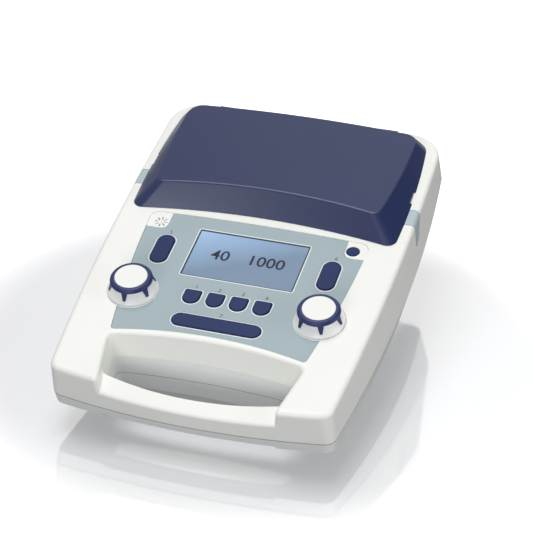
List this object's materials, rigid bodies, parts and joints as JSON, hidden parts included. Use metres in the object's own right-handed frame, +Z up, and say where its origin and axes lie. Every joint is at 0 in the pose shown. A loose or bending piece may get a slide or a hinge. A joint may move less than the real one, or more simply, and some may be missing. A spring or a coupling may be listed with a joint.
{
  "type": "screening audiometer",
  "caption": "Sloping desktop hearing tester with rotary knobs, push keys, a display, a hinged storage lid with side latches and a front grab opening.",
  "frame": {"origin": "under the middle of the whole part, at the level of the table that it stands on", "axes": "+Z up, +X to the right of a user who sits at the front, +Y away from the user, towards the storage lid"},
  "size_m": [0.2494, 0.3888, 0.1648],
  "materials": {
    "shell": "moulded, satin gloss",
    "panel": "satin printed fascia",
    "key": "soft-touch cap",
    "lid": "satin moulding",
    "latch": "satin moulding",
    "tray": "moulded, satin gloss",
    "skirt": "satin moulding",
    "cap": "satin moulding",
    "liner": "fine texture",
    "window": "clear acrylic",
    "display": "lit display face",
    "board": "solder-masked laminate",
    "rubber": "matt",
    "metal": "bright",
    "black": "fine texture"
  },
  "bodies": {
    "housing": {"board_screws": "metal", "case_screws": "metal", "connector_board": "board", "connector_plate": "black", "control_panel": "panel", "data_socket": "metal", "display_gasket": "rubber", "display_module": "display", "display_spacers": "metal", "display_window": "window", "key_mat": "rubber", "latch_pins": "metal", "left_encoder": "metal", "left_encoder_nut": "metal", "left_knob_base": "skirt", "lid_hinge_pins": "metal", "lower_shell": "tray", "main_board": "board", "microphone_capsule": "metal", "microphone_grille": "shell", "phone_jacks": "black", "power_inlet": "black", "power_key_bezel": "shell", "ribbon_cable": "black", "right_encoder": "metal", "right_encoder_nut": "metal", "right_knob_base": "skirt", "rubber_feet": "rubber", "storage_bin": "liner", "upper_shell": "shell"},
    "lid": {"lid": "lid"},
    "left_knob": {"left_knob_skirt": "skirt", "left_knob_grip": "key", "left_knob_cap": "cap", "left_encoder_shaft": "metal"},
    "left_latch": {"left_latch": "latch"},
    "right_knob": {"right_knob_skirt": "skirt", "right_knob_grip": "key", "right_knob_cap": "cap", "right_encoder_shaft": "metal"},
    "right_latch": {"right_latch": "latch"},
    "function_key_1": {"function_key_1": "key"},
    "function_key_2": {"function_key_2": "key"},
    "function_key_3": {"function_key_3": "key"},
    "function_key_4": {"function_key_4": "key"},
    "left_oval_key": {"left_oval_key": "key"},
    "right_oval_key": {"right_oval_key": "key"},
    "tone_key": {"tone_key": "key"},
    "power_key": {"power_key": "key"}
  },
  "joints": [
    {"name": "lid_hinge", "type": "hinge", "parent": "housing", "child": "lid", "pos_m": [0, 0.13027, 0.15382], "axis": [-1, 0, 0], "range_deg": [0, 110]},
    {"name": "left_knob_turn", "type": "hinge", "parent": "housing", "child": "left_knob", "pos_m": [-0.0779, -0.09788, 0.08885], "axis": [0, -0.284, 0.9588], "continuous": true},
    {"name": "right_knob_turn", "type": "hinge", "parent": "housing", "child": "right_knob", "pos_m": [0.0779, -0.09788, 0.08885], "axis": [0, -0.284, 0.9588], "continuous": true},
    {"name": "left_latch_press", "type": "hinge", "parent": "housing", "child": "left_latch", "pos_m": [-0.1164, 0.03381, 0.11117], "axis": [0, -0.9588, -0.284], "range_deg": [0, 9], "stiffness_Nm_per_rad": 0.4, "springref_deg": -5.73},
    {"name": "right_latch_press", "type": "hinge", "parent": "housing", "child": "right_latch", "pos_m": [0.1164, 0.03381, 0.11117], "axis": [0, 0.9588, 0.284], "range_deg": [0, 9], "stiffness_Nm_per_rad": 0.4, "springref_deg": -5.73},
    {"name": "function_key_1_press", "type": "slide", "parent": "housing", "child": "function_key_1", "axis": [0, 0.284, -0.9588], "range_m": [0, 0.001], "stiffness_N_per_m": 600, "springref_m": -0.001},
    {"name": "function_key_2_press", "type": "slide", "parent": "housing", "child": "function_key_2", "axis": [0, 0.284, -0.9588], "range_m": [0, 0.001], "stiffness_N_per_m": 600, "springref_m": -0.001},
    {"name": "function_key_3_press", "type": "slide", "parent": "housing", "child": "function_key_3", "axis": [0, 0.284, -0.9588], "range_m": [0, 0.001], "stiffness_N_per_m": 600, "springref_m": -0.001},
    {"name": "function_key_4_press", "type": "slide", "parent": "housing", "child": "function_key_4", "axis": [0, 0.284, -0.9588], "range_m": [0, 0.001], "stiffness_N_per_m": 600, "springref_m": -0.001},
    {"name": "left_oval_key_press", "type": "slide", "parent": "housing", "child": "left_oval_key", "axis": [0, 0.284, -0.9588], "range_m": [0, 0.001], "stiffness_N_per_m": 600, "springref_m": -0.001},
    {"name": "right_oval_key_press", "type": "slide", "parent": "housing", "child": "right_oval_key", "axis": [0, 0.284, -0.9588], "range_m": [0, 0.001], "stiffness_N_per_m": 600, "springref_m": -0.001},
    {"name": "tone_key_press", "type": "slide", "parent": "housing", "child": "tone_key", "axis": [0, 0.284, -0.9588], "range_m": [0, 0.001], "stiffness_N_per_m": 600, "springref_m": -0.001},
    {"name": "power_key_press", "type": "slide", "parent": "housing", "child": "power_key", "axis": [0, 0.284, -0.9588], "range_m": [0, 0.001], "stiffness_N_per_m": 600, "springref_m": -0.001}
  ]
}
